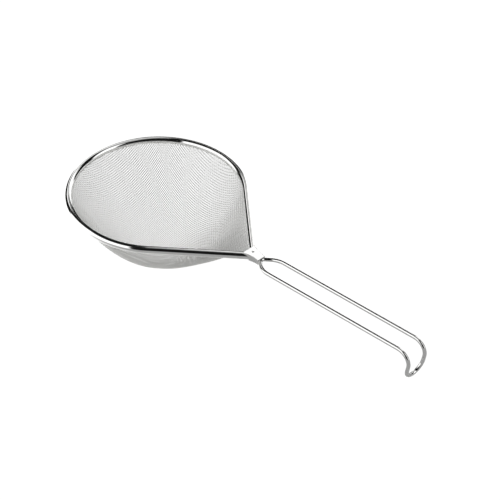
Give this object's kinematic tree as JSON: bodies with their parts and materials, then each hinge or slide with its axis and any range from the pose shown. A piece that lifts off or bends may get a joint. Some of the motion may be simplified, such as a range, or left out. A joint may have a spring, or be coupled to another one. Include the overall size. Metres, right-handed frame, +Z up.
{
  "type": "tea strainer",
  "caption": "Wire-mesh tea strainer: a woven bowl bound into a teardrop rim, with a neck clip and a long looped wire handle that ends in a hook.",
  "frame": {"origin": "midpoint of the bounding box in plan, on the table that the strainer lies on", "axes": "+X along the handle from the bowl to the hook, +Z up from the table. The rim's plane is tilted 10 degrees about Y, handle end down, because the strainer lies on its bowl and its hook."},
  "size_m": [0.175, 0.075, 0.0385],
  "materials": {
    "wire": "polished",
    "sheet": "polished",
    "mesh": "woven wire"
  },
  "bodies": {
    "root": {"frame_wire": "wire", "rim_binding": "sheet", "mesh_bowl": "mesh", "neck_clip": "sheet"}
  },
  "joints": []
}
